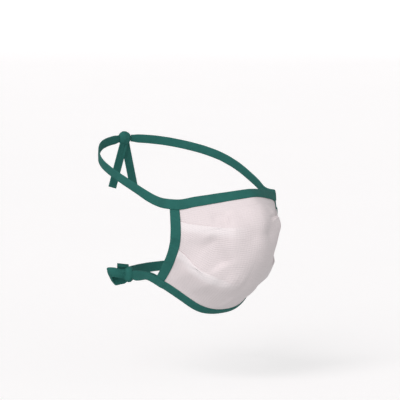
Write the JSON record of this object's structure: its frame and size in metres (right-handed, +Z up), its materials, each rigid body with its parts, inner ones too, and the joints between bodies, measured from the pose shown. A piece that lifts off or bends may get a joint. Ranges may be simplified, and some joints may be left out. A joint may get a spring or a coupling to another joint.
{
  "type": "dust mask",
  "caption": "Pleated woven cloth face mask in its worn cup form, edged with folded tape whose ends tie behind the head and neck.",
  "frame": {"origin": "The middle of the top tape where it crosses the bridge of the nose, on the mid plane.", "axes": "+Z up. The wearer looks along -Y, so +Y runs back towards the head and +X is the wearer's left."},
  "size_m": [0.1586, 0.2256, 0.1702],
  "materials": {
    "woven_cloth": "matt white woven cloth with a fine rib, slightly see-through where it is one layer",
    "woven_tape": "matt blue-green woven tape, folded in half and sewn"
  },
  "bodies": {
    "root": {"mask_panel": "woven_cloth", "top_tape": "woven_tape", "bottom_tape": "woven_tape", "side_tape_left": "woven_tape", "side_tape_right": "woven_tape", "upper_knot": "woven_tape", "upper_tail_left": "woven_tape", "upper_tail_right": "woven_tape", "lower_knot": "woven_tape", "lower_loop": "woven_tape", "lower_tail": "woven_tape"}
  },
  "joints": []
}
